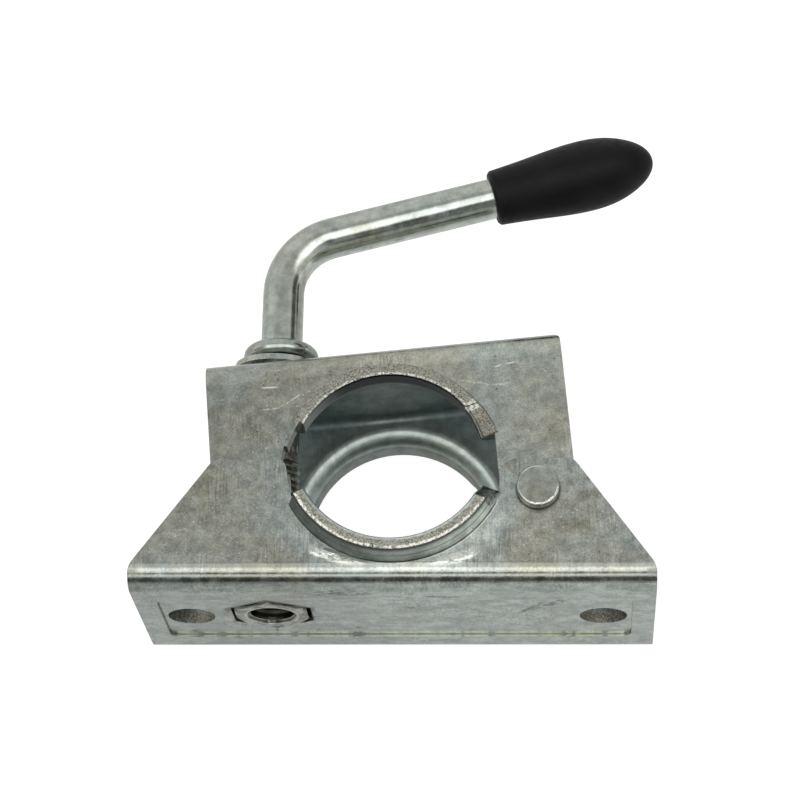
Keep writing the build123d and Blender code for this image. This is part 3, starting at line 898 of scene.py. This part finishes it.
bpy.ops.mesh.primitive_plane_add(size=FLOOR_SIZE, location=(0.0, 0.0, FLOOR_Z))
floor = bpy.context.object
floor.name = "floor"
paper = bpy.data.materials.new("floor_paper")
paper.use_nodes = True
tree = paper.node_tree
shader = tree.nodes["Principled BSDF"]
rays = node(tree, "ShaderNodeLightPath").outputs
seen = seen_rays(tree, rays)
mirrored = rays["Is Glossy Ray"]
tint = blend(tree, seen, blend(tree, mirrored, PAPER_PALE, PAPER_MIRRORED), PAPER_SEEN)
glow = total(tree, product(tree, seen, GLOW_SEEN), product(tree, mirrored, GLOW_MIRRORED))
tree.links.new(tint, shader.inputs["Base Color"])
tree.links.new(glow, shader.inputs["Emission Strength"])
shader.inputs["Emission Color"].default_value = (1.0, 1.0, 1.0, 1.0)
shader.inputs["Roughness"].default_value = 0.9
shader.inputs["Specular IOR Level"].default_value = 0.0
floor.data.materials.append(paper)


# Studio light as a sky: two soft boxes from overhead to the front, a dark gap below them and
# low on the right, a pale room behind. Angles run from the front horizon over the zenith. On
# the left the lower box drops, on the right the upper one starts later.
LIGHT_BOX = 1.85
LIGHT_LOW = 0.55
LIGHT_BACK = 0.62
LIGHT_SIDE = 0.5
LIGHT_GAP = 0.06
UPPER_BOX, RIGHT_BOX_FROM = (57.0, 98.0), (62.0, 68.0)
LOWER_BOX, LOWER_BOX_DROP = (42.0, 51.0), 6.0
LOW_FRONT_END = (8.0, 18.0)
ROOM_FROM, ROOM_BRIGHTER_FROM, ROOM_BRIGHTER = (95.0, 101.0), (114.0, 124.0), 1.45
DARK_RIGHT, DARK_RIGHT_CUT = (9.0, 32.0), 0.85
world = bpy.data.worlds.new("studio")
bpy.context.scene.world = world
world.use_nodes = True
tree = world.node_tree
tree.nodes.clear()
axes = split(tree, node(tree, "ShaderNodeTexCoord").outputs["Generated"])
off_centre = size_of(tree, axes["X"])
angle = maths(tree, "ARCTAN2", axes["Z"], product(tree, axes["Y"], -1.0))
angle = product(tree, angle, math.degrees(1.0))
rise = product(tree, maths(tree, "ARCSINE", axes["Z"]), math.degrees(1.0))
lower = total(tree, angle, step(tree, axes["X"], 0.1, 0.2, LOWER_BOX_DROP, 0.0))
boxes = total(tree, between(tree, angle, *UPPER_BOX, 3.0), between(tree, lower, *LOWER_BOX, 2.0))
cut_off = product(tree, step(tree, axes["X"], 0.1, 0.2), step(tree, angle, *RIGHT_BOX_FROM[::-1]))
boxes = product(tree, boxes, inverse(tree, cut_off), step(tree, off_centre, 0.85, 0.55))
low_front = step(tree, lower, *LOW_FRONT_END[::-1])
brighter = step(tree, angle, *ROOM_BRIGHTER_FROM, 1.0, ROOM_BRIGHTER)
back = product(tree, step(tree, angle, *ROOM_FROM), brighter)
sides = product(tree, step(tree, off_centre, 0.15, 0.6), step(tree, axes["Y"], 0.3, 0.1))
right = product(
    tree,
    step(tree, axes["X"], 0.45, 0.65),
    between(tree, rise, *DARK_RIGHT, 4.0),
    step(tree, axes["Y"], 0.0, 0.2),
)
level = total(
    tree,
    product(tree, boxes, LIGHT_BOX),
    product(tree, low_front, LIGHT_LOW),
    product(tree, back, LIGHT_BACK),
    product(tree, sides, LIGHT_SIDE),
    LIGHT_GAP,
)
level = product(tree, level, inverse(tree, product(tree, right, DARK_RIGHT_CUT)))
seen = seen_rays(tree, node(tree, "ShaderNodeLightPath").outputs)
strength = mixed(tree, seen, level, 1.0)
background = node(
    tree,
    "ShaderNodeBackground",
    {"Color": (1.0, 1.0, 1.0, 1.0), "Strength": strength},
)
node(tree, "ShaderNodeOutputWorld", {"Surface": background.outputs[0]})


# Camera solved from the photo: 16 degrees wide, high above the front, turned a little. Its
# place is in metres and its turns are in degrees.
CAMERA_PLACE = (0.04393, -0.25457, 0.67497)
CAMERA_TURN = 8.96
CAMERA_HEIGHT = 67.224
CAMERA_ROLL = 8.623
FOCAL_PIXELS = 2796.5
IMAGE_PIXELS = 800.0
SENSOR = 36.0
camera_data = bpy.data.cameras.new("camera")
camera_data.sensor_width = SENSOR
camera_data.lens = SENSOR * FOCAL_PIXELS / IMAGE_PIXELS
camera_data.clip_start = 10.0 * MM
camera = bpy.data.objects.new("camera", camera_data)
bpy.context.scene.collection.objects.link(camera)
camera.matrix_world = (
    Matrix.Translation(CAMERA_PLACE)
    @ Matrix.Rotation(math.radians(CAMERA_TURN), 4, "Z")
    @ Matrix.Rotation(math.radians(90.0 - CAMERA_HEIGHT), 4, "X")
    @ Matrix.Rotation(math.radians(-CAMERA_ROLL), 4, "Z")
)
bpy.context.scene.camera = camera

bpy.context.scene.view_settings.view_transform = "Standard"
